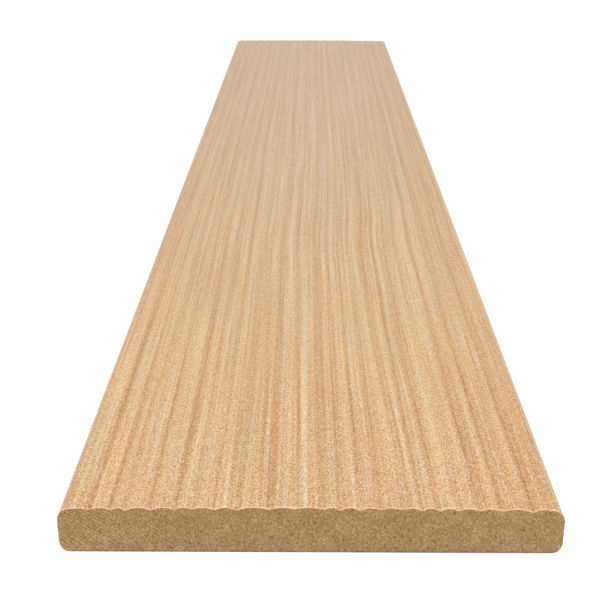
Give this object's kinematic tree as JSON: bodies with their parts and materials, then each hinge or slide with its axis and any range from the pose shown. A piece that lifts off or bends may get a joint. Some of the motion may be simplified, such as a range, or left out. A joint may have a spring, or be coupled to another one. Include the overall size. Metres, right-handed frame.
{
  "type": "composite fence board",
  "caption": "Solid wood-plastic composite fence board with a rolled wood-grain face, a flat back, eased long corners and square-sawn ends.",
  "frame": {"origin": "middle of the flat back, midway along the board, on the surface that it lies on", "axes": "+X across the board, +Y along its length, +Z out of the grained face"},
  "size_m": [0.1396, 1.8288, 0.0127],
  "materials": {
    "wood_composite": "matte"
  },
  "bodies": {
    "root": {"fence_board": "wood_composite"}
  },
  "joints": []
}
